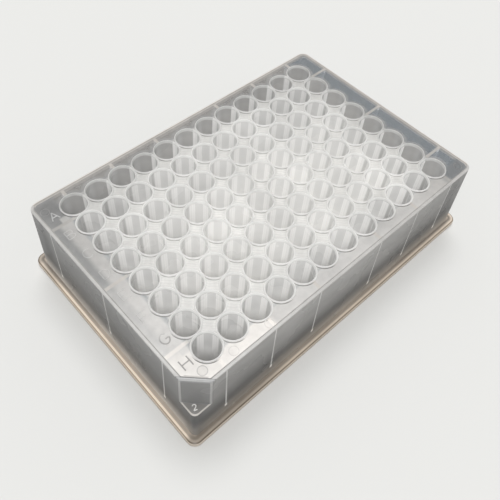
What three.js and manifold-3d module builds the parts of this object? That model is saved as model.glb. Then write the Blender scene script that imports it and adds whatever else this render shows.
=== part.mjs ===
// A deep well plate: 96 round-bottomed wells in a skirted tray, moulded in one piece.
// Millimetres. X runs from column 1 to column 12, Y from row H to row A, and Z up from the bench.
import * as THREE from 'three';
import { mergeVertices } from 'three/addons/utils/BufferGeometryUtils.js';
import Module from 'manifold-3d';

const wasm = await Module();
wasm.setup();

// The plate's outside
const FOOTPRINT_LENGTH = 127.76;
const FOOTPRINT_WIDTH = 85.48;
const PLATE_HEIGHT = 30.7;

// The grid of wells
const COLUMNS = 12;
const ROWS = 8;
const PITCH = 9;
const WEB_BETWEEN_BORES = 1;
const SHARED_WALL_OVERLAP = 0.1;
const WELL_SIDES = 8;

// One well, with its lowest point above the bench, and the raised collar around its mouth
const WELL_BOTTOM = 3.1;
const WELL_FLOOR = 1;
const BORE_DRAFT = 0.15;
const COLLAR_HEIGHT = 0.4;

// The deck and the ledge around it
const DECK_THICKNESS = 1.2;
const LEDGE_DROP = 0.25;
const LEDGE_WIDTH = 0.9;

// The skirt wall under the ledge
const WALL = 1.2;
const WALL_DRAFT = 0.0236;
const CORNER_RADIUS = 2.8;
const KEYED_CORNER_RADIUS = 1.6;

// The keyed corner at H1, cut off above a small shelf
const CORNER_CUT = 6;
const SHELF_HEIGHT = 16.5;

// The flange at the foot, an upside-down channel
const FLANGE_REACH = 2.9;
const FLANGE_HEIGHT = 2;
const FLANGE_WEB = 1.15;
const FLANGE_LIP = 1.2;
const FLANGE_RADIUS = 3;
const FLANGE_EDGE = 0.45;

// The ribs that brace the skirt against the wells
const RIB_THICKNESS = 0.8;
const RIB_FOOT = 5.5;
const SIDE_RIB_COLUMNS = [0, 2, 4, 7, 9, 11];
const END_RIB_GAPS = [1, 4, 7];

const CORNER_STEPS = 2;
const CUT_THROUGH = 1;

const deckTop = PLATE_HEIGHT - COLLAR_HEIGHT;
const deckUnderside = deckTop - DECK_THICKNESS;
const ledgeTop = deckTop - LEDGE_DROP;
const flangeUnderside = FLANGE_HEIGHT - FLANGE_WEB;
const bodyLength = FOOTPRINT_LENGTH - 2 * FLANGE_REACH;
const bodyWidth = FOOTPRINT_WIDTH - 2 * FLANGE_REACH;
const boreRadius = (PITCH - WEB_BETWEEN_BORES) / 2;
const wellRadius = (PITCH + SHARED_WALL_OVERLAP) / 2;

function solidFrom(geometry) {
  const bare = geometry.index ? geometry.toNonIndexed() : geometry.clone();
  bare.deleteAttribute('normal');
  bare.deleteAttribute('uv');
  const merged = mergeVertices(bare, 1e-5);
  const corners = merged.index.array;
  const triangles = [];
  for (let i = 0; i < corners.length; i += 3) {
    const [a, b, c] = corners.slice(i, i + 3);
    const hasArea = a !== b && b !== c && c !== a;
    if (hasArea) triangles.push(a, b, c);
  }
  const mesh = new wasm.Mesh({
    numProp: 3,
    vertProperties: Float32Array.from(merged.attributes.position.array),
    triVerts: Uint32Array.from(triangles),
  });
  return new wasm.Manifold(mesh);
}

function geometryFrom(solid) {
  const mesh = solid.getMesh();
  const geometry = new THREE.BufferGeometry();
  geometry.setAttribute('position', new THREE.BufferAttribute(mesh.vertProperties, 3));
  geometry.setIndex(new THREE.BufferAttribute(mesh.triVerts, 1));
  const faceted = geometry.toNonIndexed();
  faceted.computeVertexNormals();
  return faceted;
}

function joinAll(solids) {
  return solids.reduce((joined, next) => joined.add(next));
}

// A rectangle around the origin. The corner at H1, on the -X and -Y side, has its own radius or a straight cut.
function plateOutline(length, width, radius, keyed) {
  const x = length / 2;
  const y = width / 2;
  const shape = new THREE.Shape();
  shape.moveTo(0, -y);
  shape.absarc(x - radius, -y + radius, radius, -Math.PI / 2, 0, false);
  shape.absarc(x - radius, y - radius, radius, 0, Math.PI / 2, false);
  shape.absarc(-x + radius, y - radius, radius, Math.PI / 2, Math.PI, false);
  if (keyed.cut) {
    shape.lineTo(-x, -y + keyed.cut);
    shape.lineTo(-x + keyed.cut, -y);
  } else {
    shape.absarc(-x + keyed.radius, -y + keyed.radius, keyed.radius, Math.PI, 1.5 * Math.PI, false);
  }
  return shape;
}

function prism(shape, bottom, top) {
  const options = { depth: top - bottom, bevelEnabled: false, curveSegments: CORNER_STEPS };
  return new THREE.ExtrudeGeometry(shape, options).translate(0, 0, bottom);
}

// Leans the four sides outwards towards the foot, as a moulded skirt needs to leave its tool.
function drafted(geometry) {
  const position = geometry.attributes.position;
  for (let i = 0; i < position.count; i += 1) {
    const spread = (ledgeTop - position.getZ(i)) * WALL_DRAFT;
    position.setX(i, position.getX(i) + Math.sign(position.getX(i)) * spread);
    position.setY(i, position.getY(i) + Math.sign(position.getY(i)) * spread);
  }
  return geometry;
}

function box(sizeX, sizeY, bottom, top, x, y) {
  const height = top - bottom;
  return new THREE.BoxGeometry(sizeX, sizeY, height).translate(x, y, bottom + height / 2);
}

// How long the H1 cut's legs are on an outline that lies this far inside the skirt's outside.
function cutAt(inset) {
  return CORNER_CUT - (2 - Math.SQRT2) * inset;
}

// What lies beyond the slanted face of the H1 corner.
function cornerBlock(inset, bottom, top) {
  const reach = FLANGE_REACH + CORNER_RADIUS;
  const x = -bodyLength / 2 + inset;
  const y = -bodyWidth / 2 + inset;
  const leg = cutAt(inset) + reach;
  const triangle = new THREE.Shape();
  triangle.moveTo(x - reach, y - reach);
  triangle.lineTo(x + leg, y - reach);
  triangle.lineTo(x - reach, y + leg);
  return solidFrom(drafted(prism(triangle, bottom, top)));
}

function flange() {
  const outline = plateOutline(FOOTPRINT_LENGTH, FOOTPRINT_WIDTH, FLANGE_RADIUS, { radius: FLANGE_RADIUS });
  const depth = FLANGE_HEIGHT + CUT_THROUGH - 2 * FLANGE_EDGE;
  const rounded = new THREE.ExtrudeGeometry(outline, {
    depth,
    bevelThickness: FLANGE_EDGE,
    bevelSize: FLANGE_EDGE,
    bevelOffset: -FLANGE_EDGE,
    bevelSegments: 2,
    curveSegments: CORNER_STEPS,
  });
  rounded.translate(0, 0, FLANGE_HEIGHT - FLANGE_EDGE - depth);
  const benchDepth = 2 * CUT_THROUGH;
  const bench = box(2 * FOOTPRINT_LENGTH, 2 * FOOTPRINT_WIDTH, -benchDepth, 0, 0, 0);
  return solidFrom(rounded).subtract(solidFrom(bench));
}

function flangeChannel() {
  const length = FOOTPRINT_LENGTH - 2 * FLANGE_LIP;
  const width = FOOTPRINT_WIDTH - 2 * FLANGE_LIP;
  const radius = FLANGE_RADIUS - FLANGE_LIP;
  return solidFrom(prism(plateOutline(length, width, radius, { radius }), -CUT_THROUGH, flangeUnderside));
}

function skirt() {
  const outline = plateOutline(bodyLength, bodyWidth, CORNER_RADIUS, { radius: KEYED_CORNER_RADIUS });
  const block = solidFrom(drafted(prism(outline, flangeUnderside, ledgeTop)));
  return block.subtract(cornerBlock(0, SHELF_HEIGHT, PLATE_HEIGHT));
}

function insideOfSkirt() {
  const length = bodyLength - 2 * WALL;
  const width = bodyWidth - 2 * WALL;
  const keyedRadius = Math.max(KEYED_CORNER_RADIUS - WALL, WALL / 2);
  const outline = plateOutline(length, width, CORNER_RADIUS - WALL, { radius: keyedRadius });
  const hollow = solidFrom(drafted(prism(outline, 0, deckUnderside)));
  return hollow.subtract(cornerBlock(WALL, SHELF_HEIGHT - WALL, PLATE_HEIGHT));
}

function deck() {
  const length = bodyLength - 2 * LEDGE_WIDTH;
  const width = bodyWidth - 2 * LEDGE_WIDTH;
  const outline = plateOutline(length, width, CORNER_RADIUS - LEDGE_WIDTH, { cut: cutAt(LEDGE_WIDTH) });
  return solidFrom(prism(outline, deckUnderside, deckTop));
}

function columnX(column) {
  return (column - (COLUMNS - 1) / 2) * PITCH;
}

function rowY(row) {
  return ((ROWS - 1) / 2 - row) * PITCH;
}

// Radii in a profile are measured to the middle of a flat side, and two flats face along X and two along Y.
function turned(profile) {
  const toCorner = 1 / Math.cos(Math.PI / WELL_SIDES);
  const points = profile.map(([radius, height]) => new THREE.Vector2(radius * toCorner, height));
  const geometry = new THREE.LatheGeometry(points, WELL_SIDES, Math.PI / WELL_SIDES);
  return geometry.rotateX(Math.PI / 2);
}

// A round bottom of this radius as a point and two rings: [radius, height above the lowest point].
function roundBottom(radius) {
  const middleRadius = radius * Math.sin(Math.PI / 4);
  const middleHeight = radius * (1 - Math.cos(Math.PI / 4));
  return [[0, 0], [middleRadius, middleHeight], [radius, radius]];
}

function wellBody() {
  const bottom = roundBottom(wellRadius).map(([radius, height]) => [radius, WELL_BOTTOM + height]);
  return solidFrom(turned([...bottom, [wellRadius, PLATE_HEIGHT], [0, PLATE_HEIGHT]]));
}

function wellBore() {
  const floor = WELL_BOTTOM + WELL_FLOOR;
  const top = PLATE_HEIGHT + CUT_THROUGH;
  const bottom = roundBottom(boreRadius - BORE_DRAFT).map(([radius, height]) => [radius, floor + height]);
  return solidFrom(turned([...bottom, [boreRadius, top], [0, top]]));
}

function atEachWell(solid) {
  const copies = [];
  for (let column = 0; column < COLUMNS; column += 1) {
    for (let row = 0; row < ROWS; row += 1) copies.push(solid.translate([columnX(column), rowY(row), 0]));
  }
  return joinAll(copies);
}

// Ribs on the long sides stand in line with a column and run from its end wells out into the skirt.
function sideRibs() {
  const innerEnd = rowY(0) + boreRadius;
  const outerEnd = bodyWidth / 2 - WALL / 3;
  const middle = (innerEnd + outerEnd) / 2;
  const ribs = [];
  for (const column of SIDE_RIB_COLUMNS) {
    for (const side of [-1, 1]) {
      ribs.push(box(RIB_THICKNESS, outerEnd - innerEnd, RIB_FOOT, deckTop, columnX(column), side * middle));
    }
  }
  return joinAll(ribs.map(solidFrom));
}

// Ribs on the short sides stand between two rows, where the rounded wells leave a notch.
function endRibs() {
  const notchDepth = wellRadius * (1 - Math.tan(Math.PI / WELL_SIDES));
  const innerEnd = columnX(COLUMNS - 1) + wellRadius - notchDepth - RIB_THICKNESS;
  const outerEnd = bodyLength / 2 - WALL / 3;
  const middle = (innerEnd + outerEnd) / 2;
  const ribs = [];
  for (const gap of END_RIB_GAPS) {
    const y = rowY(gap - 0.5);
    for (const side of [-1, 1]) {
      ribs.push(box(outerEnd - innerEnd, RIB_THICKNESS, RIB_FOOT, deckTop, side * middle, y));
    }
  }
  return joinAll(ribs.map(solidFrom));
}

function wellPlate() {
  const shell = flange().subtract(flangeChannel()).add(skirt()).add(deck()).subtract(insideOfSkirt());
  const ribs = sideRibs().add(endRibs());
  const body = shell.add(ribs).add(atEachWell(wellBody())).subtract(atEachWell(wellBore()));
  const material = new THREE.MeshStandardMaterial({ color: 0xa9adb0, roughness: 0.35, metalness: 0 });
  const mesh = new THREE.Mesh(geometryFrom(body), material);
  mesh.name = 'well_plate';
  return mesh;
}

const group = new THREE.Group();
group.add(wellPlate());

export default group;
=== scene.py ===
"""A deep well plate in natural polypropylene: 96 round-bottomed wells in a skirted tray, all one moulding.

The CAD node is replaced by one mesh with true round wells, rounded edges, row letters and moulding marks.
Lengths are in millimetres up to the point where a mesh is made, which turns them into metres.
"""

import functools
import math

import bpy
from mathutils import Matrix, Vector


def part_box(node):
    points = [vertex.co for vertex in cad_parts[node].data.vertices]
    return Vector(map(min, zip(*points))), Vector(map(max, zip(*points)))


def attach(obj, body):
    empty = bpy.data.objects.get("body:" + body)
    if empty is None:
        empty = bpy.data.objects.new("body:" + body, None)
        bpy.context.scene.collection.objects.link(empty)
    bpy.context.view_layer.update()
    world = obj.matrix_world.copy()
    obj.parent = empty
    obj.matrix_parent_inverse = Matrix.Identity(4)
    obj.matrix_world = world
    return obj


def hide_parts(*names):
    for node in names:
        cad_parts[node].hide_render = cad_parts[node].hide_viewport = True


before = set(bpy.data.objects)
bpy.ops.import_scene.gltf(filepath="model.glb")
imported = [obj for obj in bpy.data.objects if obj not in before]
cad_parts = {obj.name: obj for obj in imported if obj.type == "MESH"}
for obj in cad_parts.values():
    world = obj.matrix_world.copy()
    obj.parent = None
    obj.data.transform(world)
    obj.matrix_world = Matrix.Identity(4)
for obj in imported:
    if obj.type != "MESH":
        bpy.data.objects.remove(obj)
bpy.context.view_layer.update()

MM = 0.001

# The plate, as in the CAD model
LENGTH, WIDTH, HEIGHT = ((high - low) / MM for low, high in zip(*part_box("well_plate")))
COLUMNS, ROWS, PITCH = 12, 8, 9.0
BORE_RADIUS = 4.0
BORE_DRAFT = 0.15
WELL_RADIUS = 4.55
WELL_BOTTOM = 3.1
WELL_FLOOR = 1.0
COLLAR_HEIGHT = 0.4
COLLAR_CREST_RADIUS = 4.38
COLLAR_ROOT_RADIUS = 4.66
LEAD_IN_DEPTH = 0.7
DECK_THICKNESS = 1.2
LEDGE_DROP = 0.25
LEDGE_WIDTH = 0.9
WALL = 1.2
WALL_DRAFT = 0.0236
CORNER_RADIUS = 2.8
KEYED_CORNER_RADIUS = 1.6
CORNER_CUT = 6.0
SHELF_HEIGHT = 16.5
FLANGE_REACH = 2.9
FLANGE_HEIGHT = 2.0
FLANGE_WEB = 1.15
FLANGE_LIP = 1.2
FLANGE_RADIUS = 3.0
FLANGE_EDGE = 0.45
RIB_THICKNESS = 0.8
RIB_FOOT = 5.5
SIDE_RIB_COLUMNS = (0, 2, 4, 7, 9, 11)
END_RIB_GAPS = (1, 4, 7)

# Only in the visual model
EDGE_ROUNDING = 0.22
FLANGE_FOOT_EDGE = 0.12
FLANGE_FACE_DRAFT = 0.05
CHANNEL_EDGE = 0.15
RIB_TOP_SUNK = 0.3
END_RIB_ROOT = 1.1
LETTER_X = -56.7
LETTER_SIZE = (2.55, 3.2)
LETTER_STROKE = 0.25
LETTER_RELIEF = 0.13
FIGURE_PLACE = (-59.3, -37.9)
FIGURE_SIZE = (1.05, 1.65)
FIGURE_STROKE = 0.19
FIGURE_RELIEF = 0.17
FIGURE_TURN = -19
EJECTOR_PLACES = ((-54.8, -35.9), (-58.0, 34.5), (57.1, -36.5), (-45.0, -37.1), (-32.3, -37.5))
EJECTOR_RADIUS = 1.5
EJECTOR_DEPTH = 0.1
EJECTOR_GROOVE = 0.28

# How finely round shapes are divided
WELL_SIDES = 40
BOTTOM_RINGS = 6
CORNER_STEPS = 8

# Where the material finds the ribs: how far the first is from the plate's middle, and their spacing
SIDE_RIB_FIRST, SIDE_RIB_SPACING = 1.5 * PITCH, 2 * PITCH
END_RIB_FIRST, END_RIB_SPACING = 0.0, 3 * PITCH
RIB_LINE_SHIFT = 0.3

DECK_TOP = HEIGHT - COLLAR_HEIGHT
DECK_UNDERSIDE = DECK_TOP - DECK_THICKNESS
LEDGE_TOP = DECK_TOP - LEDGE_DROP
LEAD_IN_FOOT = HEIGHT - LEAD_IN_DEPTH
BODY_LENGTH = LENGTH - 2 * FLANGE_REACH
BODY_WIDTH = WIDTH - 2 * FLANGE_REACH


# ---------------------------------------------------------------- mesh tools


def mesh_object(name, points, faces):
    mesh = bpy.data.meshes.new(name)
    mesh.from_pydata([Vector(p) * MM for p in points], [], faces)
    piece = bpy.data.objects.new(name, mesh)
    bpy.context.scene.collection.objects.link(piece)
    return piece


def loft(name, rings):
    """A closed solid through rings with the same number of points, from the bottom up."""
    count = len(rings[0])
    points = [p for ring in rings for p in ring]
    faces = [tuple(reversed(range(count)))]
    for level in range(len(rings) - 1):
        for i in range(count):
            j = (i + 1) % count
            low = level * count
            faces.append((low + i, low + j, low + count + j, low + count + i))
    faces.append(tuple(range(len(points) - count, len(points))))
    return mesh_object(name, points, faces)


def turned(name, profile, x, y):
    """A solid turned about a vertical axis. The profile of (radius, height) starts and ends on the axis."""
    rings = profile[1:-1]
    points = [(x, y, profile[0][1])]
    for radius, height in rings:
        for i in range(WELL_SIDES):
            angle = 2 * math.pi * (i + 0.5) / WELL_SIDES
            points.append((x + radius * math.cos(angle), y + radius * math.sin(angle), height))
    points.append((x, y, profile[-1][1]))
    faces = []
    last = len(points) - 1
    top = last - WELL_SIDES
    for i in range(WELL_SIDES):
        j = (i + 1) % WELL_SIDES
        faces.append((0, 1 + j, 1 + i))
        for level in range(len(rings) - 1):
            low = 1 + level * WELL_SIDES
            faces.append((low + i, low + j, low + WELL_SIDES + j, low + WELL_SIDES + i))
        faces.append((last, top + i, top + j))
    return mesh_object(name, points, faces)


def block(name, low, high):
    (x0, y0, z0), (x1, y1, z1) = low, high
    bottom = [(x0, y0, z0), (x1, y0, z0), (x1, y1, z0), (x0, y1, z0)]
    return loft(name, [bottom, [(x, y, z1) for x, y, _ in bottom]])


def apply_modifiers(piece):
    graph = bpy.context.evaluated_depsgraph_get()
    mesh = bpy.data.meshes.new_from_object(piece.evaluated_get(graph))
    piece.modifiers.clear()
    piece.data = mesh


def combine(piece, operation, others):
    """Joins others to piece, or cuts them out of it, and removes them."""
    group = bpy.data.collections.new("others")
    for other in others:
        group.objects.link(other)
    modifier = piece.modifiers.new("combine", "BOOLEAN")
    modifier.operation = operation
    modifier.solver = "MANIFOLD"
    modifier.operand_type = "COLLECTION"
    modifier.collection = group
    apply_modifiers(piece)
    for other in others:
        bpy.data.objects.remove(other)
    bpy.data.collections.remove(group)


def bevelled(piece, width, segments, angle):
    modifier = piece.modifiers.new("edges", "BEVEL")
    modifier.width = width * MM
    modifier.segments = segments
    modifier.limit_method = "ANGLE"
    modifier.angle_limit = math.radians(angle)
    apply_modifiers(piece)


# ---------------------------------------------------------------- outlines


def oval_arc(x, y, radius_x, radius_y, start, end, steps):
    """Points on an oval arc, with its angles in degrees."""
    angles = [math.radians(start + (end - start) * i / steps) for i in range(steps + 1)]
    return [(x + radius_x * math.cos(a), y + radius_y * math.sin(a)) for a in angles]


def arc(x, y, radius, start, end, steps):
    return oval_arc(x, y, radius, radius, start, end, steps)


def outline(length, width, radius, keyed_radius=None, cut=None):
    """A rectangle around the origin, whose corner at H1 has its own radius or is cut."""
    x, y, r = length / 2, width / 2, radius
    points = arc(x - r, -y + r, r, -90, 0, CORNER_STEPS)
    points += arc(x - r, y - r, r, 0, 90, CORNER_STEPS)
    points += arc(-x + r, y - r, r, 90, 180, CORNER_STEPS)
    if cut:
        return points + [(-x, -y + cut), (-x + cut, -y)]
    k = keyed_radius or radius
    return points + arc(-x + k, -y + k, k, 180, 270, CORNER_STEPS)


def at_height(points, z, spread=0.0):
    """An outline lifted to z, with each side moved out by spread."""
    return [(x + spread * math.copysign(1, x), y + spread * math.copysign(1, y), z) for x, y in points]


def draft_at(z):
    return (LEDGE_TOP - z) * WALL_DRAFT


def drafted(points, z):
    return at_height(points, z, draft_at(z))


def cut_at(inset):
    """How long the H1 cut's legs are on an outline that lies this far inside the skirt's outside."""
    return CORNER_CUT - (2 - math.sqrt(2)) * inset


def column_x(column):
    return (column - (COLUMNS - 1) / 2) * PITCH


def row_y(row):
    return ((ROWS - 1) / 2 - row) * PITCH


# How far the outermost wells' axes are from the plate's middle
LAST_X, LAST_Y = column_x(COLUMNS - 1), row_y(0)


# ---------------------------------------------------------------- the plate's parts


def corner_block(inset, bottom, top):
    """What lies beyond the slanted face of the H1 corner."""
    reach = FLANGE_REACH + CORNER_RADIUS
    x, y = -BODY_LENGTH / 2 + inset, -BODY_WIDTH / 2 + inset
    leg = cut_at(inset) + reach
    triangle = [(x - reach, y - reach), (x + leg, y - reach), (x - reach, y + leg)]
    return loft("corner_block", [drafted(triangle, bottom), drafted(triangle, top)])


def skirt_and_deck():
    """The outside above the flange, with every edge rounded."""
    full = outline(BODY_LENGTH, BODY_WIDTH, CORNER_RADIUS, keyed_radius=KEYED_CORNER_RADIUS)
    length, width = BODY_LENGTH - 2 * LEDGE_WIDTH, BODY_WIDTH - 2 * LEDGE_WIDTH
    raised = outline(length, width, CORNER_RADIUS - LEDGE_WIDTH, cut=cut_at(LEDGE_WIDTH))
    foot = FLANGE_HEIGHT / 2
    body = loft("well_plate_moulding", [drafted(full, foot), drafted(full, LEDGE_TOP)])
    combine(body, "DIFFERENCE", [corner_block(0, SHELF_HEIGHT, HEIGHT)])
    deck = loft("deck", [at_height(raised, DECK_UNDERSIDE), at_height(raised, DECK_TOP)])
    combine(body, "UNION", [deck])
    bevelled(body, EDGE_ROUNDING, segments=3, angle=35)
    return body


def flange():
    full = outline(LENGTH, WIDTH, FLANGE_RADIUS)
    rings = [at_height(full, 0, -FLANGE_FOOT_EDGE), at_height(full, FLANGE_FOOT_EDGE)]
    for degrees in (0, 22.5, 45, 67.5, 90):
        a = math.radians(degrees)
        inset = FLANGE_EDGE * (1 - math.cos(a)) + FLANGE_FACE_DRAFT
        rings.append(at_height(full, FLANGE_HEIGHT - FLANGE_EDGE * (1 - math.sin(a)), -inset))
    return loft("flange", rings)


def flange_channel():
    inside = outline(LENGTH - 2 * FLANGE_LIP, WIDTH - 2 * FLANGE_LIP, FLANGE_RADIUS - FLANGE_LIP)
    top = FLANGE_HEIGHT - FLANGE_WEB
    shoulder = at_height(inside, top - CHANNEL_EDGE)
    return loft("channel", [at_height(inside, -1), shoulder, at_height(inside, top, -CHANNEL_EDGE)])


def inside_of_skirt():
    length, width = BODY_LENGTH - 2 * WALL, BODY_WIDTH - 2 * WALL
    keyed = max(KEYED_CORNER_RADIUS - WALL, WALL / 2)
    inside = outline(length, width, CORNER_RADIUS - WALL, keyed_radius=keyed)
    hollow = loft("hollow", [drafted(inside, 0), drafted(inside, DECK_UNDERSIDE)])
    combine(hollow, "DIFFERENCE", [corner_block(WALL, SHELF_HEIGHT - WALL, HEIGHT)])
    return hollow


def ribs():
    """Each runs from the wall of its well, or of two wells at the ends, into the skirt."""
    half = RIB_THICKNESS / 2
    top = DECK_TOP - RIB_TOP_SUNK
    pieces = []
    inner, outer = LAST_Y + BORE_RADIUS, BODY_WIDTH / 2 - WALL / 3
    for column in SIDE_RIB_COLUMNS:
        x = column_x(column)
        for low, high in ((inner, outer), (-outer, -inner)):
            pieces.append(block("rib", (x - half, low, RIB_FOOT), (x + half, high, top)))
    inner, outer = LAST_X + END_RIB_ROOT, BODY_LENGTH / 2 - WALL / 3
    for gap in END_RIB_GAPS:
        y = row_y(gap - 0.5)
        for low, high in ((inner, outer), (-outer, -inner)):
            pieces.append(block("rib", (low, y - half, RIB_FOOT), (high, y + half, top)))
    return pieces


def round_bottom(radius, lowest):
    """(radius, height) from the axis out along a half ball."""
    angles = [math.pi / 2 * i / BOTTOM_RINGS for i in range(BOTTOM_RINGS + 1)]
    return [(radius * math.sin(a), lowest + radius * (1 - math.cos(a))) for a in angles]


def well_body(x, y):
    profile = round_bottom(WELL_RADIUS, WELL_BOTTOM)
    profile += [
        (WELL_RADIUS, DECK_TOP - 0.6),
        (COLLAR_ROOT_RADIUS + 0.05, DECK_TOP - 0.2),
        (COLLAR_ROOT_RADIUS + 0.05, DECK_TOP - 0.02),
        (COLLAR_ROOT_RADIUS - 0.08, DECK_TOP + 0.08),
        (COLLAR_CREST_RADIUS + 0.13, HEIGHT - 0.1),
        (COLLAR_CREST_RADIUS + 0.06, HEIGHT - 0.02),
        (COLLAR_CREST_RADIUS - 0.02, HEIGHT),
        (0, HEIGHT),
    ]
    return turned("well", profile, x, y)


def well_bore(x, y):
    floor = WELL_BOTTOM + WELL_FLOOR
    profile = round_bottom(BORE_RADIUS - BORE_DRAFT, floor)
    profile += [
        (BORE_RADIUS, LEAD_IN_FOOT),
        (BORE_RADIUS + 0.1, HEIGHT - 0.4),
        (BORE_RADIUS + 0.22, HEIGHT - 0.12),
        (COLLAR_CREST_RADIUS - 0.06, HEIGHT),
        (COLLAR_CREST_RADIUS, HEIGHT + 1),
        (0, HEIGHT + 1),
    ]
    return turned("bore", profile, x, y)


def each_well(make):
    return [make(column_x(column), row_y(row)) for column in range(COLUMNS) for row in range(ROWS)]


# ---------------------------------------------------------------- lettering and moulding marks


# Each letter's strokes, as shares of its width and height from the lower left corner
LETTERS = {
    "A": [[(0, 0), (0.5, 1)], [(0.5, 1), (1, 0)], [(0.19, 0.36), (0.81, 0.36)]],
    "B": [
        [(0, 0), (0, 1)],
        [(0, 1)] + oval_arc(0.58, 0.76, 0.32, 0.24, 90, -90, 8) + [(0, 0.52)],
        [(0.5, 0.52)] + oval_arc(0.62, 0.26, 0.36, 0.26, 90, -90, 8) + [(0, 0)],
    ],
    "C": [oval_arc(0.55, 0.5, 0.55, 0.5, 48, 312, 18)],
    "D": [[(0, 0), (0, 1)], [(0, 1)] + oval_arc(0.45, 0.5, 0.52, 0.5, 90, -90, 14) + [(0, 0)]],
    "E": [
        [(0, 0), (0, 1)],
        [(0, 0), (0.95, 0)],
        [(0, 1), (0.95, 1)],
        [(0, 0.52), (0.8, 0.52)],
    ],
    "F": [[(0, 0), (0, 1)], [(0, 1), (0.95, 1)], [(0, 0.52), (0.8, 0.52)]],
    "G": [oval_arc(0.55, 0.5, 0.52, 0.5, 48, 352, 20), [(1.05, 0.45), (0.6, 0.45)]],
    "H": [[(0, 0), (0, 1)], [(1, 0), (1, 1)], [(0, 0.52), (1, 0.52)]],
    "2": [oval_arc(0.5, 0.7, 0.46, 0.3, 165, -35, 12), [(0.88, 0.53), (0.04, 0)], [(0.04, 0), (1, 0)]],
}


def raised_stroke(points, z, radius, relief):
    """A round bar along points, sunk into the face at z so that relief stands out of it."""
    curve = bpy.data.curves.new("stroke", "CURVE")
    curve.dimensions = "3D"
    curve.bevel_depth = radius * MM
    curve.bevel_resolution = 2
    curve.use_fill_caps = True
    spline = curve.splines.new("POLY")
    spline.points.add(len(points) - 1)
    for point, (x, y) in zip(spline.points, points):
        point.co = (x * MM, y * MM, (z + relief - radius) * MM, 1)
    bar = bpy.data.objects.new("stroke", curve)
    bpy.context.scene.collection.objects.link(bar)
    mesh = bpy.data.meshes.new_from_object(bar.evaluated_get(bpy.context.evaluated_depsgraph_get()))
    bpy.data.objects.remove(bar)
    solid = bpy.data.objects.new("stroke", mesh)
    bpy.context.scene.collection.objects.link(solid)
    weld = solid.modifiers.new("weld", "WELD")
    weld.merge_threshold = 0.001 * MM
    apply_modifiers(solid)
    return solid


def lettering(sign, place, z, size, radius, relief, turn=0.0):
    strokes = []
    (x, y), (width, height) = place, size
    c, s = math.cos(math.radians(turn)), math.sin(math.radians(turn))
    for path in LETTERS[sign]:
        sized = [((u - 0.5) * width, (v - 0.5) * height) for u, v in path]
        points = [(x + c * u - s * v, y + s * u + c * v) for u, v in sized]
        strokes.append(raised_stroke(points, z, radius, relief))
    return strokes


def all_lettering():
    strokes = []
    for row, sign in enumerate("ABCDEFGH"):
        place = (LETTER_X, row_y(row))
        strokes += lettering(sign, place, DECK_TOP, LETTER_SIZE, LETTER_STROKE, LETTER_RELIEF)
    strokes += lettering(
        "2", FIGURE_PLACE, SHELF_HEIGHT, FIGURE_SIZE, FIGURE_STROKE, FIGURE_RELIEF, turn=FIGURE_TURN
    )
    return strokes


def disc(x, y, radius, bottom):
    circle = arc(x, y, radius, 0, 360 - 360 / WELL_SIDES, WELL_SIDES - 1)
    return loft("mark", [[(u, v, z) for u, v in circle] for z in (bottom, HEIGHT)])


def ejector_marks():
    """Round grooves in the deck's margin."""
    marks = []
    for x, y in EJECTOR_PLACES:
        groove = disc(x, y, EJECTOR_RADIUS, DECK_TOP - EJECTOR_DEPTH)
        middle = disc(x, y, EJECTOR_RADIUS - EJECTOR_GROOVE, DECK_TOP - 1)
        combine(groove, "DIFFERENCE", [middle])
        marks.append(groove)
    return marks


# ---------------------------------------------------------------- the whole moulding


plate = skirt_and_deck()
combine(plate, "UNION", [flange()])
combine(plate, "DIFFERENCE", [flange_channel(), inside_of_skirt()])
combine(plate, "UNION", ribs() + each_well(well_body) + all_lettering())
combine(plate, "DIFFERENCE", each_well(well_bore) + ejector_marks())
plate.data.shade_smooth()
plate.data.set_sharp_from_angle(angle=math.radians(32))
weighted = plate.modifiers.new("normals", "WEIGHTED_NORMAL")
weighted.keep_sharp = True
weighted.weight = 80
apply_modifiers(plate)
plate.name = plate.data.name = "well_plate_moulding"


# ---------------------------------------------------------------- material


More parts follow.
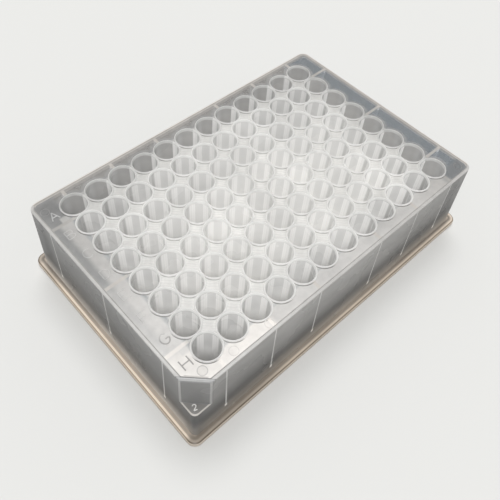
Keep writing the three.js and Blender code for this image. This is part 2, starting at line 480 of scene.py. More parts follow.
class Tree:
    """Short names for adding nodes to a material."""

    def __init__(self, name):
        self.material = bpy.data.materials.new(name)
        self.material.use_nodes = True
        self.nodes = self.material.node_tree.nodes
        self.nodes.clear()

    def add(self, kind, **inputs):
        node = self.nodes.new(kind)
        for key, value in inputs.items():
            self.feed(node.inputs[key.replace("_", " ")], value)
        return node

    def feed(self, socket, value):
        if isinstance(value, bpy.types.NodeSocket):
            self.material.node_tree.links.new(value, socket)
        else:
            socket.default_value = value

    def maths(self, operation, a, b=0.0):
        node = self.nodes.new("ShaderNodeMath")
        node.operation = operation
        self.feed(node.inputs[0], a)
        self.feed(node.inputs[1], b)
        return node.outputs[0]

    def both(self, *masks):
        return functools.reduce(lambda a, b: self.maths("MULTIPLY", a, b), masks)

    def either(self, *masks):
        return functools.reduce(lambda a, b: self.maths("MAXIMUM", a, b), masks)

    def inverse(self, mask):
        return self.maths("SUBTRACT", 1.0, mask)

    def step(self, value, low, high):
        """0 below low and 1 above high, with a smooth change between, or falling if low is the larger."""
        start, end = (0.0, 1.0) if low < high else (1.0, 0.0)
        low, high = min(low, high), max(low, high)
        node = self.add(
            "ShaderNodeMapRange", Value=value, From_Min=low, From_Max=high, To_Min=start, To_Max=end
        )
        node.interpolation_type = "SMOOTHSTEP"
        return node.outputs["Result"]

    def near(self, value, centre, reach, soft=0.1):
        """1 where value is within reach of centre, fading out over soft."""
        distance = self.maths("ABSOLUTE", self.maths("SUBTRACT", value, centre))
        return self.step(distance, reach + soft, reach)

    def mix(self, share, a, b):
        """a where share is 0 and b where it is 1."""
        return self.add("ShaderNodeMix", Factor=share, A=a, B=b).outputs["Result"]

    def mix_colour(self, share, a, b):
        node = self.nodes.new("ShaderNodeMix")
        node.data_type = "RGBA"
        self.feed(node.inputs[0], share)
        self.feed(node.inputs[6], a)
        self.feed(node.inputs[7], b)
        return node.outputs[2]

    def mix_shader(self, share, a, b):
        node = self.nodes.new("ShaderNodeMixShader")
        for socket, value in zip(node.inputs, (share, a, b)):
            self.feed(socket, value)
        return node.outputs[0]

    def scaled(self, vector, factor):
        node = self.nodes.new("ShaderNodeVectorMath")
        node.operation = "SCALE"
        self.feed(node.inputs[0], vector)
        self.feed(node.inputs["Scale"], factor)
        return node.outputs[0]

    def finished(self, shader):
        """The material, with this shader as its surface."""
        self.add("ShaderNodeOutputMaterial", Surface=shader)
        return self.material

    def noise(self, place, scale, detail):
        """Noise around 0, up to about 0.5 either way."""
        node = self.add("ShaderNodeTexNoise", Vector=place, Scale=scale, Detail=detail)
        return self.maths("SUBTRACT", node.outputs["Fac"], 0.5)

    def ramp(self, value, low, high, stops):
        """A colour for each value, from (value, colour) stops."""
        share = self.add("ShaderNodeMapRange", Value=value, From_Min=low, From_Max=high)
        node = self.add("ShaderNodeValToRGB", Fac=share.outputs["Result"])
        elements = node.color_ramp.elements
        for _ in stops[2:]:
            elements.new(0.5)
        for element, (at, colour) in zip(elements, stops):
            element.position = (at - low) / (high - low)
            element.color = colour
        return node.outputs["Color"]


class Places:
    """Where a point of the plate lies, in millimetres."""

    def __init__(self, tree):
        self.tree = tree
        metres = tree.add("ShaderNodeTexCoord").outputs["Object"]
        self.point = tree.scaled(metres, 1 / MM)
        axes = tree.add("ShaderNodeSeparateXYZ", Vector=self.point)
        self.x, self.y, self.height = axes.outputs
        self.across = tree.maths("ABSOLUTE", self.x)
        self.along = tree.maths("ABSOLUTE", self.y)
        self.find_outlines(tree)
        self.find_wells(tree)
        self.find_parts(tree)

    def find_outlines(self, tree):
        """How far outside the flange, the skirt and the slanted corner, less than 0 inside them."""
        self.rim = self.outside(LENGTH, WIDTH, FLANGE_RADIUS)
        below = tree.maths("MAXIMUM", tree.maths("SUBTRACT", LEDGE_TOP, self.height), 0.0)
        draft = tree.maths("MULTIPLY", below, WALL_DRAFT)
        self.side = tree.maths("SUBTRACT", self.outside(BODY_LENGTH, BODY_WIDTH, CORNER_RADIUS), draft)
        keyed_side = self.outside(BODY_LENGTH, BODY_WIDTH, KEYED_CORNER_RADIUS)
        self.keyed_side = tree.maths("SUBTRACT", keyed_side, draft)
        reach = BODY_LENGTH / 2 + BODY_WIDTH / 2 - CORNER_CUT
        towards_h1 = tree.maths("MULTIPLY", tree.maths("ADD", self.x, self.y), -1.0)
        beyond = tree.maths("SUBTRACT", towards_h1, reach)
        beyond = tree.maths("SUBTRACT", beyond, tree.maths("MULTIPLY", draft, 2.0))
        self.slant = tree.maths("MULTIPLY", beyond, math.sqrt(0.5))
        self.edge = tree.maths("MAXIMUM", self.side, self.slant)

    def find_wells(self, tree):
        """How far from the axis of the nearest well, and which way."""
        off_x, off_y = self.from_axis(self.x, COLUMNS), self.from_axis(self.y, ROWS)
        self.radius = self.length(off_x, off_y)
        sideways = tree.maths("ABSOLUTE", tree.maths("SUBTRACT", off_x, off_y))
        self.streak = tree.maths("DIVIDE", tree.maths("MULTIPLY", sideways, math.sqrt(0.5)), self.radius)
        self.towards_far = tree.maths("ADD", off_x, off_y)
        farthest = [tree.maths("ABSOLUTE", off) for off in (off_x, off_y)]
        self.farthest_off = tree.maths("MAXIMUM", *farthest)

        # A number from -0.5 to 0.5 that differs from well to well
        well = tree.nodes.new("ShaderNodeVectorMath")
        well.operation = "SNAP"
        tree.feed(well.inputs[0], self.point)
        well.inputs[1].default_value = (PITCH, PITCH, 1000.0)
        drawn = tree.add("ShaderNodeTexWhiteNoise", Vector=well.outputs[0])
        self.well_number = tree.maths("SUBTRACT", drawn.outputs["Value"], 0.5)

        # 0 at the plate's middle and 1 on an oval just beyond the outermost axes
        across_grid = tree.maths("DIVIDE", self.x, LAST_X + 2.5)
        along_grid = tree.maths("DIVIDE", self.y, LAST_Y + 4.5)
        self.off_centre = self.length(across_grid, along_grid)

    def find_parts(self, tree):
        """Masks, which are 1 on a part of the plate and 0 off it."""
        self.skirt = tree.both(tree.step(self.edge, -1.5, -1.35), tree.step(self.height, 1.9, 2.1))
        self.deck = tree.step(self.height, DECK_UNDERSIDE - 0.1, DECK_UNDERSIDE + 0.1)
        self.inside_ledge = tree.both(self.deck, tree.step(self.edge, -0.9, -1.05))
        self.row_h_margin = tree.step(self.y, -33.0, -35.0)
        self.column_1_margin = tree.step(self.x, -52.0, -54.0)
        within_x = tree.step(self.across, LAST_X + 3.1, LAST_X + 2.1)
        within_y = tree.step(self.along, LAST_Y + 3.1, LAST_Y + 2.1)
        self.grid = tree.both(within_x, within_y)
        above_bottom = tree.step(self.height, WELL_BOTTOM + 0.5, WELL_BOTTOM + 1.0)
        self.bore = tree.both(tree.step(self.radius, BORE_RADIUS + 0.35, BORE_RADIUS + 0.2), above_bottom)

        # The sides of the outermost wells that face the skirt, slightly less of them towards column 12
        towards_skirt = tree.maths("SUBTRACT", self.along, tree.maths("MULTIPLY", self.x, 0.007))
        self.outward = tree.either(
            tree.step(self.across, LAST_X + 1.2, LAST_X + 1.6),
            tree.step(towards_skirt, LAST_Y + 1.5, LAST_Y + 1.9),
        )
        self.beyond_row_a = tree.step(self.y, LAST_Y + 0.5, LAST_Y + 1.5)
        beyond_column_12 = tree.step(self.x, LAST_X + 0.9, LAST_X + 1.3)
        self.far_outward = tree.either(beyond_column_12, tree.both(self.outward, self.beyond_row_a))

    def length(self, a, b):
        squares = [self.tree.maths("POWER", value, 2.0) for value in (a, b)]
        return self.tree.maths("SQRT", self.tree.maths("ADD", *squares))

    def outside(self, length, width, radius):
        """How far outside a rectangle with round corners."""
        tree = self.tree
        over_x = tree.maths("SUBTRACT", self.across, length / 2 - radius)
        over_y = tree.maths("SUBTRACT", self.along, width / 2 - radius)
        round_corner = self.length(*[tree.maths("MAXIMUM", over, 0.0) for over in (over_x, over_y)])
        straight = tree.maths("MINIMUM", tree.maths("MAXIMUM", over_x, over_y), 0.0)
        return tree.maths("SUBTRACT", tree.maths("ADD", round_corner, straight), radius)

    def from_axis(self, value, count):
        """How far from the nearest well's axis, one way."""
        tree = self.tree
        square = tree.maths("ADD", tree.maths("FLOOR", tree.maths("DIVIDE", value, PITCH)), 0.5)
        last = (count - 1) / 2
        square = tree.maths("MAXIMUM", tree.maths("MINIMUM", square, last), -last)
        return tree.maths("SUBTRACT", value, tree.maths("MULTIPLY", square, PITCH))

    def from_rib(self, value, first, spacing):
        """How far from the nearest of a row of ribs."""
        tree = self.tree
        shifted = tree.maths("ADD", value, spacing / 2 - first)
        turns = tree.maths("FLOORED_MODULO", shifted, spacing)
        return tree.maths("ABSOLUTE", tree.maths("SUBTRACT", turns, spacing / 2))


class Paint:
    """The plastic's colour, which carries painted light and shade, and how solid it looks, painted over in
    turn.
    """

    def __init__(self, tree, colour, solid):
        self.tree, self.colour, self.solid = tree, colour, solid
        self.reflecting = 0.0

    def over(self, mask, colour, solid=None):
        self.colour = self.tree.mix_colour(mask, self.colour, colour)
        if solid is not None:
            self.solid = self.tree.mix(mask, self.solid, solid)


def grey(value, warmth=0.0):
    """A colour of this brightness, redder and less blue with its warmth."""
    return (value * (1 + warmth), value, value * (1 - warmth), 1)


BLACK = grey(0.0)


def cream(value, blue=0.985):
    """A near white that is slightly yellow, the more so the lower its blue."""
    return (value, (2 + blue) / 3 * value, blue * value, 1)


def paint_skirt(tree, at, paint):
    """The skirt in painted light and shade by its height: a warm painted glow at the foot, brighter on the
    column 1 side, a painted dark band above it, and painted shade in places.
    """
    shade_stops = [
        (2.0, grey(0.46, 0.11)), (3.0, grey(0.485, 0.10)), (4.0, grey(0.44, 0.095)),
        (6.0, grey(0.29, 0.085)), (7.0, grey(0.25, 0.07)), (8.0, grey(0.195, 0.055)),
        (9.0, grey(0.156, 0.04)), (10.0, grey(0.141, 0.03)), (11.5, grey(0.148, 0.02)),
        (13.0, grey(0.20, 0.02)), (16.0, grey(0.285, 0.02)), (19.0, grey(0.36, 0.02)),
        (27.0, grey(0.39, 0.015)), (30.0, grey(0.36, 0.02)),
    ]
    shade = tree.ramp(at.height, 0.0, 32.0, shade_stops)
    column_1_stops = [
        (2.0, grey(0.82, 0.045)), (3.0, grey(0.795, 0.06)), (4.0, grey(0.68, 0.07)),
        (5.0, grey(0.53, 0.055)), (6.0, grey(0.43, 0.055)), (7.0, grey(0.34, 0.04)),
        (8.0, grey(0.245, 0.015)), (9.0, grey(0.178, 0.01)), (10.0, grey(0.148, 0.005)),
        (13.0, grey(0.166)), (16.0, grey(0.186)), (19.0, grey(0.23)), (27.0, grey(0.272)),
        (30.0, grey(0.295, 0.005)),
    ]
    shade_at_column_1 = tree.ramp(at.height, 0.0, 32.0, column_1_stops)
    column_1_side = tree.both(tree.step(at.x, -59.5, -60.0), tree.step(at.along, 41.0, 39.5))
    shade = tree.mix_colour(column_1_side, shade, shade_at_column_1)

    # Painted shade towards the far ends, and at the foot beside H1
    long_side = tree.step(at.along, 39.0, 39.5)
    above_foot = tree.step(at.height, 8.0, 11.0)
    end_bay = tree.either(
        tree.both(column_1_side, tree.step(at.y, 26.0, 33.0), 0.38),
        tree.both(long_side, tree.step(at.x, 49.2, 49.8), 0.45),
        tree.both(long_side, tree.step(at.across, 25.0, 33.0), 0.15),
    )
    shade = tree.mix_colour(tree.both(end_bay, above_foot), shade, BLACK)
    low = tree.step(at.height, 6.5, 4.5)
    shaded_foot = tree.both(long_side, tree.step(at.x, -18.0, -36.0), low, 0.22)
    shade = tree.mix_colour(shaded_foot, shade, BLACK)
    # Painted shade in the keyed corner at H1, darker higher up the wall
    keyed = tree.both(tree.step(at.x, -56.0, -60.0), tree.step(at.y, -35.0, -39.0))
    keyed_shade = tree.mix_colour(tree.step(at.height, 12.0, 4.0), grey(0.10), grey(0.25, 0.06))
    shade = tree.mix_colour(tree.both(keyed, 0.8), shade, keyed_shade)
    paint.over(at.skirt, shade, 0.95)
    # Painted shade on the skirt's inner face below the deck
    below_deck = tree.step(at.height, DECK_UNDERSIDE - 0.1, DECK_UNDERSIDE - 0.3)
    within = tree.both(at.skirt, tree.step(at.edge, -1.0, -1.1), below_deck)
    paint.over(within, grey(0.22, 0.02), 0.85)


def paint_rib_lines(tree, at, paint):
    """The ribs behind the skirt are painted on its face as thin lines of painted light, with a brighter knob
    at the foot.
    """
    face = tree.both(at.skirt, tree.step(at.edge, -0.5, -0.35))
    shifted = tree.maths("ABSOLUTE", tree.maths("ADD", at.x, RIB_LINE_SHIFT))
    side_rib = at.from_rib(shifted, SIDE_RIB_FIRST, SIDE_RIB_SPACING)
    end_rib = at.from_rib(at.along, END_RIB_FIRST, END_RIB_SPACING)
    on_side, on_end = tree.step(at.along, 39.0, 39.3), tree.step(at.across, 60.0, 60.3)
    beside = tree.either(
        tree.both(tree.step(side_rib, 0.3, 0.15), on_side),
        tree.both(tree.step(end_rib, 0.3, 0.15), on_end),
    )
    knob = tree.either(
        tree.both(tree.step(side_rib, 0.55, 0.35), on_side),
        tree.both(tree.step(end_rib, 0.55, 0.35), on_end),
    )
    line = tree.both(beside, tree.step(at.height, RIB_FOOT + 0.5, RIB_FOOT + 0.9))
    foot = tree.both(knob, tree.near(at.height, RIB_FOOT + 1.5, 0.5, 0.6))
    line_strength = tree.mix(tree.step(at.height, 20.0, 13.0), 0.6, 0.85)
    paint.over(tree.both(face, line, line_strength), grey(0.85, 0.01), 1.0)
    paint.over(tree.both(face, foot), grey(0.95, 0.04), 1.0)


def paint_keyed_corner(tree, at, paint):
    """The slanted face at H1 and the shelf at its foot in painted shade, with painted highlights along the
    edges of both.
    """
    above_shelf = tree.step(at.height, SHELF_HEIGHT - 0.3, SHELF_HEIGHT - 0.15)
    at_corner = tree.both(above_shelf, tree.step(at.slant, -0.5, -0.3))
    facet = tree.both(at_corner, tree.step(at.height, LEDGE_TOP - 0.3, LEDGE_TOP - 0.5))
    paint.over(facet, grey(0.27), 0.8)
    facet_top = tree.both(facet, tree.step(at.height, LEDGE_TOP - 1.5, LEDGE_TOP - 0.4))
    paint.over(facet_top, grey(0.30, -0.01), 0.9)
    shelf = tree.both(at_corner, tree.step(at.slant, 0.1, 0.3))
    paint.over(shelf, grey(0.27, 0.03), 0.85)
    shelf_edge_highlight = tree.both(tree.step(at.keyed_side, -0.42, -0.34), tree.step(at.slant, 0.0, 0.2))
    facet_edge_highlight = tree.both(facet, tree.step(at.side, -0.32, -0.24), tree.near(at.slant, 0.0, 0.2, 0.15))
    paint.over(tree.both(at_corner, facet_edge_highlight), grey(0.42, 0.01), 1.0)
    paint.over(tree.both(at_corner, shelf_edge_highlight), grey(0.66, 0.05), 1.0)


def paint_flange(tree, at, paint):
    """The flange's top and its face at the rim, in painted highlights and painted shade."""
    low = tree.step(at.height, FLANGE_HEIGHT + 0.25, FLANGE_HEIGHT + 0.1)
    top = tree.both(low, tree.step(at.side, -0.2, 0.1))

    # Painted highlights and shade by how far inside the rim, on most of the flange and, brighter, beside
    # column 1
    distances = (-2.8, -2.3, -1.85, -1.5, -1.25, -1.1, -0.8, -0.62, -0.45, -0.3, -0.15)
    plain = (0.41, 0.37, 0.30, 0.34, 0.45, 0.60, 0.68, 0.58, 0.26, 0.19, 0.32)
    bright = (0.57, 0.54, 0.46, 0.46, 0.54, 0.90, 1.0, 0.92, 0.34, 0.29, 0.72)
    profiles = []
    for values in (plain, bright):
        stops = []
        for distance, value in zip(distances, values):
            warmth = 0.15 if distance < -0.5 else 0.24
            stops.append((distance, grey(value, warmth)))
        profiles.append(tree.ramp(at.rim, -3.0, 0.0, stops))
    column_1_side = tree.both(tree.step(at.x, -60.6, -61.2), tree.step(at.along, 41.0, 38.0))
    paint.over(top, tree.mix_colour(column_1_side, *profiles), 1.0)
    # Painted shade along row H towards column 1, and along column 1 towards row A
    end_shade = tree.either(
        tree.both(tree.step(at.y, -38.0, -40.5), tree.step(at.x, -18.0, -45.0)),
        tree.both(tree.step(at.x, -59.5, -61.0), tree.step(at.y, 22.0, 34.0)),
    )
    end_shade_share = tree.mix(tree.step(at.rim, -1.4, -0.9), 0.24, 0.38)
    paint.over(tree.both(top, end_shade, tree.step(at.rim, -2.6, -2.2), end_shade_share), BLACK)
    # Painted shade in a line over the channel below, towards column 12 and row A
    far_ends = tree.either(tree.step(at.x, 10.0, 40.0), tree.step(at.y, 0.0, 25.0))
    groove = tree.both(low, tree.near(at.rim, -1.9, 0.15, 0.25), far_ends, 0.6)
    paint.over(groove, grey(0.16, 0.12), 1.0)
    # The face at the rim, with a painted shade line along it and painted shade at its foot
    face = tree.both(low, tree.step(at.rim, -0.2, -0.1))
    paint.over(face, grey(0.66, 0.13), 1.0)
    paint.over(tree.both(face, tree.near(at.height, 0.95, 0.06, 0.12)), grey(0.34, 0.15), 1.0)
    paint.over(tree.both(face, tree.step(at.height, 0.45, 0.2)), grey(0.36, 0.12), 1.0)


def paint_margin(tree, at, paint):
    """The deck between the outermost wells and the ledge, in painted light and shade by place along each
    side: a painted glare towards H1, painted shade towards column 12 and row A.
    """
    row_h_stops = [
        (-33.0, grey(0.79, 0.04)), (-30.0, grey(0.58, 0.025)), (-15.0, grey(0.62, 0.02)),
        (-11.0, grey(0.60, 0.02)), (30.0, grey(0.58, 0.02)), (47.0, grey(0.52, 0.03)),
        (51.0, grey(0.235, -0.04)),
    ]
    by_row_h = tree.ramp(at.x, -64.0, 64.0, row_h_stops)
    column_1_stops = [
        (-29.0, grey(0.80, 0.04)), (-26.0, grey(0.62, 0.015)), (-20.0, grey(0.54, 0.015)),
        (-2.0, grey(0.48, 0.015)), (2.0, grey(0.32, 0.0)), (24.0, grey(0.31, 0.0)),
        (29.0, grey(0.275, 0.0)),
    ]
    by_column_1 = tree.ramp(at.y, -43.0, 43.0, column_1_stops)
    # Painted shade along column 12 and row A
    by_row_a = tree.both(tree.step(at.y, 33.5, 35.5), tree.step(at.x, 50.0, 46.0))
    beside_ledge = tree.step(at.edge, -2.7, -2.2)
    by_column_12 = tree.mix_colour(beside_ledge, grey(0.272, -0.165), grey(0.30, 0.015))
    row_a_colour = tree.mix_colour(beside_ledge, grey(0.355, 0.035), grey(0.32, 0.045))
    far_margin = tree.mix_colour(by_row_a, by_column_12, row_a_colour)
    margin = tree.mix_colour(at.row_h_margin, far_margin, by_row_h)
    # Painted light in the band beside column 1's wells, brighter towards H1
    near_wells = tree.either(
        tree.both(tree.step(at.x, -58.6, -56.4), tree.near(at.y, 0.0, 26.5, 1.0)),
        tree.both(tree.step(at.x, -56.4, -55.8), tree.near(at.y, 0.0, 29.0, 1.0)),
    )
    near_wells = tree.both(near_wells, 0.85)
    plateau = tree.mix_colour(tree.step(at.y, 26.0, -26.0), grey(0.55, 0.025), grey(0.66, 0.025))
    beside_column_1 = tree.mix_colour(near_wells, by_column_1, plateau)
    margin = tree.mix_colour(at.column_1_margin, margin, beside_column_1)
    # Painted light beside the outermost wells on the far sides
    near_side = tree.either(at.row_h_margin, at.column_1_margin)
    beside_well = tree.both(tree.step(at.radius, 6.4, 4.8), tree.inverse(near_side), 0.8)
    margin = tree.mix_colour(beside_well, margin, cream(0.52))
    paint.over(at.inside_ledge, margin, tree.mix(near_side, 0.5, 0.95))
    paint.over(tree.both(at.inside_ledge, beside_ledge), margin, 0.95)


def paint_stars(tree, at, paint):
    """The stars between four wells, in painted light brightest in the plate's middle, with painted shade at
    the outermost wells and towards row A, and faint ripples.
    """
    bands = tree.add("ShaderNodeTexWave", Vector=at.point, Scale=0.5, Distortion=4.0, Detail=2.0)
    bands.bands_direction = "DIAGONAL"
    ripples = bands.outputs["Fac"]
    middle = tree.step(at.off_centre, 1.1, 0.3)
    star = tree.mix_colour(middle, cream(0.69, 0.96), cream(0.87, 0.965))
    star = tree.mix_colour(tree.step(at.radius, 5.7, 4.9), star, cream(0.76, 0.965))
    outermost = tree.either(
        tree.both(tree.step(at.across, LAST_X - 2, LAST_X), tree.mix(tree.step(at.x, -1.0, 1.0), 0.4, 0.65)),
        tree.both(tree.step(at.along, LAST_Y - 2, LAST_Y), tree.mix(tree.step(at.y, -1.0, 1.0), 0.4, 0.7)),
    )
    star = tree.mix_colour(outermost, star, cream(0.50, 0.965))
    star = tree.mix_colour(tree.both(tree.step(at.y, 8.0, 18.0), 0.12), star, cream(0.50, 0.965))
    star = tree.mix_colour(tree.both(ripples, 0.3), star, cream(0.55))
    paint.over(tree.both(at.deck, at.grid), star, 0.85)


def paint_rib_bars(tree, at, paint):
    """The ribs under the margin are painted as short bars of painted light, brightest towards H1, with
    painted shade towards column 12 and row A.
    """
    side_rib = at.from_rib(at.across, SIDE_RIB_FIRST, SIDE_RIB_SPACING)
    end_rib = at.from_rib(at.along, END_RIB_FIRST, END_RIB_SPACING)
    in_margin = tree.both(at.inside_ledge, tree.inverse(at.grid))
    over_side = tree.both(tree.step(side_rib, 0.8, 0.3), tree.step(at.along, 35.0, 36.0))
    over_end = tree.both(tree.step(end_rib, 0.8, 0.3), tree.step(at.across, 51.4, 52.4))
    over_rib = tree.both(in_margin, tree.either(over_side, over_end))
    bright_bar = tree.either(
        tree.both(at.row_h_margin, tree.step(at.x, -22.0, -30.0)),
        tree.both(at.column_1_margin, tree.step(at.y, -13.0, -26.0)),
    )
    shaded_bar = tree.either(
        tree.both(at.row_h_margin, tree.step(at.x, 36.0, 48.0)),
        tree.both(at.column_1_margin, tree.step(at.y, 12.0, 25.0)),
    )
    bar = tree.mix_colour(bright_bar, grey(0.57, 0.06), grey(0.85, 0.05))
    bar = tree.mix_colour(shaded_bar, bar, grey(0.44, 0.04))
    paint.over(tree.both(over_rib, 0.85), bar, 0.95)


def paint_ledge(tree, at, paint):
    """The ledge, its outer edge, and the step up from it, in painted light and shade that differs between
    the near and far sides, with a painted highlight on the far sides' outer edge and painted shade lines on
    the slant at H1.
    """
    top = tree.step(at.height, LEDGE_TOP - 0.45, LEDGE_TOP - 0.3)
    ledge = tree.both(top, tree.step(at.edge, -1.0, -0.9))
    by_near_side = tree.either(tree.step(at.y, -38.0, -38.5), tree.step(at.x, -59.0, -59.5))
    far_side = tree.inverse(by_near_side)
    ledge_colour = tree.mix_colour(far_side, grey(0.53, 0.02), grey(0.42, 0.05))
    on_slant = tree.step(at.slant, -1.2, -0.9)
    paint.over(ledge, tree.mix_colour(on_slant, ledge_colour, grey(0.46)), 1.0)
    step_colour = tree.mix_colour(far_side, grey(0.40, 0.03), grey(0.52, 0.06))
    paint.over(tree.both(top, tree.near(at.edge, -0.97, 0.06, 0.08)), step_colour, 1.0)
    paint.over(tree.both(top, far_side, tree.near(at.edge, -1.2, 0.15, 0.1)), grey(0.48, 0.05), 1.0)
    outer_edge = tree.mix_colour(far_side, grey(0.53, 0.02), grey(0.72, 0.08))
    outer_edge = tree.mix_colour(on_slant, outer_edge, grey(0.38))
    paint.over(tree.both(top, tree.step(at.edge, -0.3, -0.22)), outer_edge, 1.0)
    paint.over(tree.both(top, on_slant, tree.near(at.slant, -0.4, 0.04, 0.08)), grey(0.26, -0.01), 1.0)
    paint.over(tree.both(top, on_slant, tree.near(at.slant, -0.95, 0.05, 0.08)), grey(0.22), 1.0)


def paint_ejector_marks(tree, at, paint):
    """Painted shade in the marks' grooves, stronger towards H1, and on the face of the mark beside H1."""
    over_floor = tree.step(at.height, DECK_TOP - 0.15, DECK_TOP - 0.13)
    under_face = tree.step(at.height, DECK_TOP - 0.04, DECK_TOP - 0.06)
    groove = tree.both(over_floor, under_face)
    beside_column_1 = tree.mix(tree.step(at.y, 0.0, -10.0), 0.35, 0.8)
    by_corner = tree.mix(tree.step(at.x, -49.0, -51.0), 0.3, beside_column_1)
    paint.over(tree.both(at.deck, groove, tree.step(at.edge, -1.1, -1.3), by_corner), grey(0.5, 0.02))
    x, y = EJECTOR_PLACES[0]
    from_mark = at.length(tree.maths("SUBTRACT", at.x, x), tree.maths("SUBTRACT", at.y, y))
    face = tree.step(from_mark, EJECTOR_RADIUS - 0.1, EJECTOR_RADIUS - 0.4)
    paint.over(tree.both(at.deck, face, 0.3), grey(0.5, 0.05))


def paint_tubes(tree, at, paint):
    """The wells from outside, under the deck."""
    below_deck = tree.step(at.height, DECK_UNDERSIDE + 0.1, DECK_UNDERSIDE - 0.1)
    above_tip = tree.step(at.height, WELL_BOTTOM - 1.0, WELL_BOTTOM - 0.5)
    tube = tree.both(tree.step(at.radius, WELL_RADIUS + 0.45, WELL_RADIUS + 0.25), above_tip, below_deck)
    paint.over(tube, cream(0.92), 0.92)


def paint_bores(tree, at, paint):
    """The wells from inside, with painted streaks of light and shade down their walls, painted light deep
    down, and painted shade in some places.
    """
    # Painted streaks of light and shade down the walls, by how far round each well
    streak = tree.maths("ADD", at.streak, tree.maths("MULTIPLY", at.well_number, 0.06))
    light_stops = [
        (0.15, cream(0.81)), (0.31, cream(0.835)), (0.345, cream(1.0)), (0.40, cream(1.0)),
        (0.44, cream(0.93)), (0.48, cream(1.0)), (0.56, cream(1.0)), (0.60, cream(0.91)),
        (0.64, cream(1.0)), (0.74, cream(0.99)), (0.79, cream(0.72)), (0.86, cream(0.64)),
        (0.92, cream(0.70)), (0.965, cream(1.0)),
    ]
    light = tree.ramp(streak, 0.0, 1.0, light_stops)
    middle = tree.step(at.off_centre, 1.25, 0.3)
    bright = tree.both(tree.step(streak, 0.31, 0.345), tree.step(streak, 0.79, 0.74))
    dimmed = tree.both(tree.inverse(bright), tree.mix(middle, 0.15, 0.0))
    light = tree.mix_colour(dimmed, light, grey(0.3, -0.01))
    dark_streak = tree.both(tree.near(streak, 0.86, 0.06, 0.05), middle, 0.6)
    light = tree.mix_colour(dark_streak, light, cream(0.92))
    # Painted light deep down in the wells, more of it at the plate's edges
    deep = tree.both(tree.step(at.height, 25.5, 16.5), tree.mix(middle, 0.95, 0.3))
    light = tree.mix_colour(deep, light, cream(1.0))

    # Painted shade towards row A and towards the ends, where less light gets in
    by_row = tree.mix(tree.step(at.y, 26.5, 27.5), tree.both(tree.step(at.y, 5.0, 24.0), 0.14), 0.13)
    by_column_2 = tree.both(tree.step(at.x, -18.0, -38.0), tree.step(at.x, -47.0, -43.0), 0.06)
    by_column_11 = tree.both(tree.step(at.x, 33.0, 40.0), tree.step(at.x, 47.0, 43.0), 0.07)
    less = tree.maths("ADD", by_row, tree.maths("ADD", by_column_2, by_column_11))
    light = tree.mix_colour(less, light, grey(0.3))
    paint.over(at.bore, light, 1.0)
    paint.reflecting = tree.both(at.bore, tree.step(at.height, LEAD_IN_FOOT - 0.1, LEAD_IN_FOOT - 0.3))
    # Painted shade on the sides of the outermost wells that face the skirt, lighter along the far streaks
    # and darker near the mouth
    outward_colour = tree.mix_colour(at.beyond_row_a, grey(0.56, 0.015), grey(0.52, 0.015))
    outward_colour = tree.mix_colour(tree.step(streak, 0.45, 0.95), outward_colour, grey(0.70))
    near_mouth = tree.both(tree.step(at.height, 26.5, 28.5), 0.2)
    outward_colour = tree.mix_colour(near_mouth, outward_colour, grey(0.3))
    paint.over(tree.both(at.bore, at.outward), outward_colour, 0.8)


def paint_collars(tree, at, paint):
    """The wells' mouths and the line below each in painted light, a painted shadow at the collars' feet on
    the side towards H1, and painted highlights on the crests.
    """
    mouth = tree.both(at.bore, tree.step(at.height, LEAD_IN_FOOT - 0.15, LEAD_IN_FOOT))
    paint.over(mouth, tree.mix_colour(at.far_outward, cream(0.86), cream(0.64)), 1.0)
    below = tree.mix_colour(tree.step(at.off_centre, 1.25, 0.3), grey(0.60), cream(0.85))
    paint.over(tree.both(at.bore, tree.near(at.height, LEAD_IN_FOOT - 0.15, 0.06, 0.08)), below, 1.0)
    raised = tree.step(at.height, DECK_TOP - 0.1, DECK_TOP)
    # Painted shadow at the collars' feet, on the side towards H1
    root = tree.both(raised, tree.near(at.radius, COLLAR_ROOT_RADIUS + 0.16, 0.12, 0.08))
    last_square_x, last_square_y = LAST_X - PITCH / 2, LAST_Y - PITCH / 2
    at_last_well = tree.either(
        tree.step(at.across, last_square_x, last_square_x + 1.0),
        tree.step(at.along, last_square_y, last_square_y + 1.0),
    )
    around_h1 = tree.both(tree.step(at.x, -49.0, -50.5), tree.step(at.y, -31.0, -32.5))
    by_place = tree.either(tree.mix(at_last_well, 0.6, 0.85), around_h1)
    strength = tree.both(tree.step(at.towards_far, -3.8, -6.3), by_place)
    paint.over(tree.both(root, strength), grey(0.16, 0.03), 1.0)
    touching = tree.step(at.farthest_off, PITCH / 2 - 0.3, PITCH / 2 - 0.05)
    far_well = tree.either(
        tree.step(at.x, last_square_x, last_square_x + 0.5),
        tree.step(at.y, last_square_y, last_square_y + 0.5),
    )
    # Painted highlights on the crests, dimmer at the far wells and where collars touch
    crest_highlight = tree.mix_colour(far_well, cream(0.86), cream(0.77))
    crest_highlight = tree.mix_colour(at.far_outward, crest_highlight, cream(0.70))
    crest_highlight = tree.mix_colour(tree.both(touching, 0.15), crest_highlight, cream(0.50))
    at_crest = tree.near(at.radius, COLLAR_CREST_RADIUS + 0.04, 0.16, 0.06)
    paint.over(tree.both(raised, at_crest), crest_highlight, 1.0)


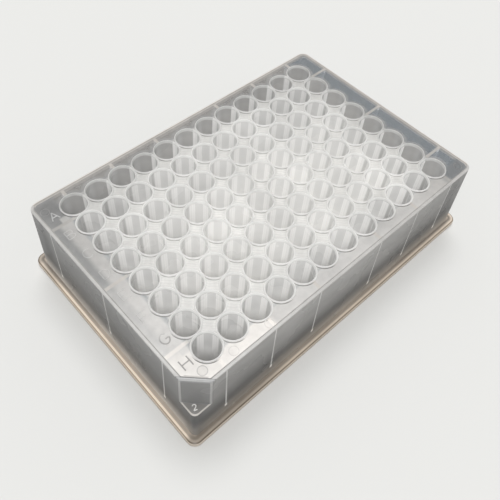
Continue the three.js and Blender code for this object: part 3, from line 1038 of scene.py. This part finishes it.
def paint_letters(tree, at, paint):
    """The row letters on the deck, in painted light and, near H1, painted shade, and the figure on the shelf
    painted bright.
    """
    standing = tree.step(at.height, DECK_TOP + 0.03, DECK_TOP + 0.06)
    beside_grid = tree.step(at.x, -54.3, -54.6)
    near_keyed = tree.step(at.y, -18.0, -24.0)
    stroke_light_and_shade = tree.mix_colour(near_keyed, grey(0.88), grey(0.40, 0.02))
    strength = tree.mix(near_keyed, tree.mix(tree.step(at.y, 28.0, 25.0), 0.5, 0.3), 0.9)
    paint.over(tree.both(standing, beside_grid, strength), stroke_light_and_shade, 0.97)
    above_shelf = tree.step(at.height, SHELF_HEIGHT + 0.03, SHELF_HEIGHT + 0.06)
    figure = tree.both(above_shelf, tree.step(at.slant, 0.12, 0.2))
    paint.over(figure, grey(0.90, 0.02), 1.0)


# Each is painted over those before it
PAINT_IN_ORDER = (
    paint_skirt, paint_rib_lines, paint_margin, paint_stars, paint_rib_bars, paint_ledge,
    paint_ejector_marks, paint_tubes, paint_bores, paint_collars, paint_keyed_corner, paint_flange,
    paint_letters,
)


def polypropylene():
    """One material for the whole moulding, which is one piece of one plastic."""
    tree = Tree("natural_polypropylene")
    at = Places(tree)
    paint = Paint(tree, grey(0.60), 0.85)
    for paint_part in PAINT_IN_ORDER:
        paint_part(tree, at, paint)

    # Clouds in the plastic, and a finer mottle in the deck
    cloudy = tree.noise(at.point, scale=0.05, detail=3.0)
    in_deck = tree.step(at.height, DECK_UNDERSIDE, DECK_TOP - 0.4)
    mottle = tree.both(tree.noise(at.point, scale=0.45, detail=4.0), in_deck)
    uneven = tree.maths("ADD", 1.0, tree.maths("MULTIPLY", cloudy, 0.35))
    uneven = tree.maths("ADD", uneven, tree.maths("MULTIPLY", mottle, 0.3))
    colour = tree.scaled(paint.colour, uneven)

    grain = tree.maths("MULTIPLY", tree.noise(at.point, scale=1.6, detail=4.0), 0.05)
    waviness = tree.maths("MULTIPLY", tree.noise(at.point, scale=0.16, detail=1.0), 0.2)
    relief = tree.maths("ADD", grain, waviness)
    normal = tree.add("ShaderNodeBump", Height=relief, Strength=0.4, Distance=0.25 * MM).outputs[0]
    roughness = tree.maths("ADD", 0.27, tree.maths("MULTIPLY", cloudy, 0.2))

    surface = tree.add(
        "ShaderNodeBsdfPrincipled", Base_Color=colour, Roughness=roughness, IOR=1.49, Normal=normal
    )
    through = tree.add("ShaderNodeBsdfTranslucent", Color=colour, Normal=normal)
    share_through = tree.mix(paint.reflecting, 0.45, 0.12)
    body = tree.mix_shader(share_through, surface.outputs[0], through.outputs[0])
    clear = tree.add("ShaderNodeBsdfTransparent")

    # Each wall shows once, where light goes into it, and lets the rest through
    leaving = tree.add("ShaderNodeNewGeometry").outputs["Backfacing"]
    shown = tree.both(paint.solid, tree.inverse(leaving))
    return tree.finished(tree.mix_shader(shown, clear.outputs[0], body))


plate.data.materials.clear()
plate.data.materials.append(polypropylene())
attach(plate, "root")
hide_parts("well_plate")


# ---------------------------------------------------------------- floor, light and camera


def plain_material(name, colour, roughness):
    tree = Tree(name)
    noise = tree.add("ShaderNodeTexNoise", Scale=40.0, Detail=3.0)
    shade = tree.mix_colour(tree.maths("MULTIPLY", noise.outputs["Fac"], 0.15), colour, (0.7, 0.7, 0.7, 1))
    surface = tree.add("ShaderNodeBsdfPrincipled", Base_Color=shade, Roughness=roughness)
    return tree.finished(surface.outputs[0])


FLOOR_REACH = 15.0
floor_corners = [(x * FLOOR_REACH, y * FLOOR_REACH, 0) for x, y in ((-1, -1), (1, -1), (1, 1), (-1, 1))]
floor_mesh = bpy.data.meshes.new("floor")
floor_mesh.from_pydata(floor_corners, [], [(0, 1, 2, 3)])
floor = bpy.data.objects.new("floor", floor_mesh)
bpy.context.scene.collection.objects.link(floor)
floor_mesh.materials.append(plain_material("floor_paint", (0.57, 0.57, 0.56, 1), 0.8))


def soft_sun(name, towards, spread, strength):
    """Light from a round patch of sky, spread degrees across, that lies in the direction towards."""
    data = bpy.data.lights.new(name, "SUN")
    data.angle = math.radians(spread)
    data.energy = strength
    lamp = bpy.data.objects.new(name, data)
    lamp.rotation_euler = Vector(towards).to_track_quat("Z", "Y").to_euler()
    bpy.context.scene.collection.objects.link(lamp)


soft_sun("front", (-0.35, -0.37, 0.86), 24, 2.1)
soft_sun("overhead", (0.24, 0.29, 0.93), 24, 1.2)

# The sky gives less light than it shows to the camera, in reflections and through clear plastic
world = bpy.data.worlds.new("room")
world.use_nodes = True
nodes, links = world.node_tree.nodes, world.node_tree.links
sky = nodes["Background"]
sky.inputs["Color"].default_value = (0.99, 0.99, 0.965, 1)
rays = nodes.new("ShaderNodeLightPath")
seen = nodes.new("ShaderNodeMapRange")
seen.inputs["To Min"].default_value = 0.5
seen.inputs["To Max"].default_value = 0.85
shown = rays.outputs["Is Camera Ray"]
for kind in ("Is Glossy Ray", "Is Transmission Ray"):
    larger = nodes.new("ShaderNodeMath")
    larger.operation = "MAXIMUM"
    links.new(shown, larger.inputs[0])
    links.new(rays.outputs[kind], larger.inputs[1])
    shown = larger.outputs[0]
links.new(shown, seen.inputs["Value"])
links.new(seen.outputs["Result"], sky.inputs["Strength"])
bpy.context.scene.world = world

camera_data = bpy.data.cameras.new("camera")
camera_data.sensor_width = 36.0
camera_data.lens = 43.45
camera_data.shift_x = 0.0226
camera_data.shift_y = -0.0558
camera_data.clip_start = 0.01
camera = bpy.data.objects.new("camera", camera_data)
bpy.context.scene.collection.objects.link(camera)
bpy.context.scene.camera = camera
aim = Vector((0.43491, 0.42534, -0.79369))
camera.location = (-0.0957, -0.0849, 0.17688)
level = aim.to_track_quat("-Z", "Y")
roll = Matrix.Rotation(math.radians(4.30), 3, "Z").to_quaternion()
camera.rotation_mode = "QUATERNION"
camera.rotation_quaternion = level @ roll

bpy.context.scene.view_settings.view_transform = "Standard"
bpy.context.scene.cycles.diffuse_bounces = 12
bpy.context.scene.cycles.max_bounces = 16
bpy.context.scene.cycles.transparent_max_bounces = 24
